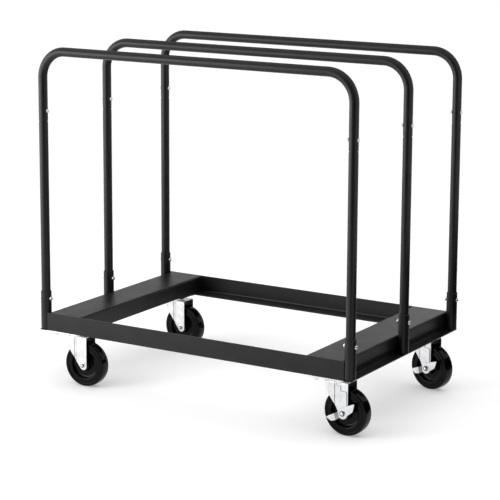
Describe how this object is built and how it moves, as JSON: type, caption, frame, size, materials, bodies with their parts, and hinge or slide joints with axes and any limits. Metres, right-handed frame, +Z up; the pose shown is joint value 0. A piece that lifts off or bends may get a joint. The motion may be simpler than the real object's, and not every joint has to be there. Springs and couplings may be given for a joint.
{
  "type": "sheet goods cart",
  "caption": "Cart for boards carried on edge: black angle-steel deck frame on zinc swivel casters with side brakes, and inverted-U tube uprights bolted into sockets.",
  "frame": {"origin": "on the floor under the middle of the deck frame", "axes": "+X along the deck towards the end with the braked casters, +Y from the front rail to the rear rail, +Z up"},
  "size_m": [1.02, 0.626, 0.9557],
  "materials": {
    "frame_coat": "satin black powder coat",
    "bolt_zinc": "bright zinc plate",
    "caster_zinc": "bright zinc plate",
    "wheel_rubber": "smooth black, slightly glossy"
  },
  "bodies": {
    "frame": {"front_rail": "frame_coat", "rear_rail": "frame_coat", "left_end_channel": "frame_coat", "right_end_channel": "frame_coat", "front_left_socket": "frame_coat", "front_left_post": "frame_coat", "front_left_socket_bolt": "bolt_zinc", "front_left_bow_bolt": "bolt_zinc", "front_right_socket": "frame_coat", "front_right_post": "frame_coat", "front_right_socket_bolt": "bolt_zinc", "front_right_bow_bolt": "bolt_zinc", "front_bow": "frame_coat", "middle_left_socket": "frame_coat", "middle_left_post": "frame_coat", "middle_left_socket_bolt": "bolt_zinc", "middle_left_bow_bolt": "bolt_zinc", "middle_right_socket": "frame_coat", "middle_right_post": "frame_coat", "middle_right_socket_bolt": "bolt_zinc", "middle_right_bow_bolt": "bolt_zinc", "middle_bow": "frame_coat", "rear_left_socket": "frame_coat", "rear_left_post": "frame_coat", "rear_left_socket_bolt": "bolt_zinc", "rear_left_bow_bolt": "bolt_zinc", "rear_right_socket": "frame_coat", "rear_right_post": "frame_coat", "rear_right_socket_bolt": "bolt_zinc", "rear_right_bow_bolt": "bolt_zinc", "rear_bow": "frame_coat", "front_left_caster_pad": "frame_coat", "front_left_caster_plate": "caster_zinc", "front_left_king_pin": "caster_zinc", "front_right_caster_pad": "frame_coat", "front_right_caster_plate": "caster_zinc", "front_right_king_pin": "caster_zinc", "rear_left_caster_pad": "frame_coat", "rear_left_caster_plate": "caster_zinc", "rear_left_king_pin": "caster_zinc", "rear_right_caster_pad": "frame_coat", "rear_right_caster_plate": "caster_zinc", "rear_right_king_pin": "caster_zinc"},
    "front_left_swivel_fork": {"front_left_fork": "caster_zinc", "front_left_axle": "caster_zinc"},
    "front_left_rolling_wheel": {"front_left_wheel": "wheel_rubber"},
    "front_right_brake_rocker": {"front_right_brake_lever": "caster_zinc"},
    "front_right_swivel_fork": {"front_right_fork": "caster_zinc", "front_right_axle": "caster_zinc", "front_right_brake_leaf": "caster_zinc"},
    "front_right_rolling_wheel": {"front_right_wheel": "wheel_rubber"},
    "rear_left_swivel_fork": {"rear_left_fork": "caster_zinc", "rear_left_axle": "caster_zinc"},
    "rear_left_rolling_wheel": {"rear_left_wheel": "wheel_rubber"},
    "rear_right_brake_rocker": {"rear_right_brake_lever": "caster_zinc"},
    "rear_right_swivel_fork": {"rear_right_fork": "caster_zinc", "rear_right_axle": "caster_zinc", "rear_right_brake_leaf": "caster_zinc"},
    "rear_right_rolling_wheel": {"rear_right_wheel": "wheel_rubber"}
  },
  "joints": [
    {"name": "front_left_swivel", "type": "hinge", "parent": "frame", "child": "front_left_swivel_fork", "pos_m": [-0.417, -0.2515, 0.15], "axis": [0, 0, 1], "continuous": true},
    {"name": "front_left_wheel_spin", "type": "hinge", "parent": "front_left_swivel_fork", "child": "front_left_rolling_wheel", "pos_m": [-0.38005, -0.24956, 0.0635], "axis": [-0.0523, 0.9986, 0], "continuous": true},
    {"name": "front_right_swivel", "type": "hinge", "parent": "frame", "child": "front_right_swivel_fork", "pos_m": [0.417, -0.2515, 0.15], "axis": [0, 0, 1], "continuous": true},
    {"name": "front_right_wheel_spin", "type": "hinge", "parent": "front_right_swivel_fork", "child": "front_right_rolling_wheel", "pos_m": [0.45398, -0.25279, 0.0635], "axis": [0.0349, 0.9994, 0], "continuous": true},
    {"name": "front_right_brake_rock", "type": "hinge", "parent": "front_right_swivel_fork", "child": "front_right_brake_rocker", "pos_m": [0.45398, -0.25279, 0.0635], "axis": [-0.0349, -0.9994, 0], "range_deg": [-36, 4]},
    {"name": "rear_left_swivel", "type": "hinge", "parent": "frame", "child": "rear_left_swivel_fork", "pos_m": [-0.417, 0.2515, 0.15], "axis": [0, 0, 1], "continuous": true},
    {"name": "rear_left_wheel_spin", "type": "hinge", "parent": "rear_left_swivel_fork", "child": "rear_left_rolling_wheel", "pos_m": [-0.38004, 0.24989, 0.0635], "axis": [0.0436, 0.999, 0], "continuous": true},
    {"name": "rear_right_swivel", "type": "hinge", "parent": "frame", "child": "rear_right_swivel_fork", "pos_m": [0.417, 0.2515, 0.15], "axis": [0, 0, 1], "continuous": true},
    {"name": "rear_right_wheel_spin", "type": "hinge", "parent": "rear_right_swivel_fork", "child": "rear_right_rolling_wheel", "pos_m": [0.45305, 0.24318, 0.0635], "axis": [0.225, 0.9744, 0], "continuous": true},
    {"name": "rear_right_brake_rock", "type": "hinge", "parent": "rear_right_swivel_fork", "child": "rear_right_brake_rocker", "pos_m": [0.45305, 0.24318, 0.0635], "axis": [-0.225, -0.9744, 0], "range_deg": [-30, 10]}
  ]
}
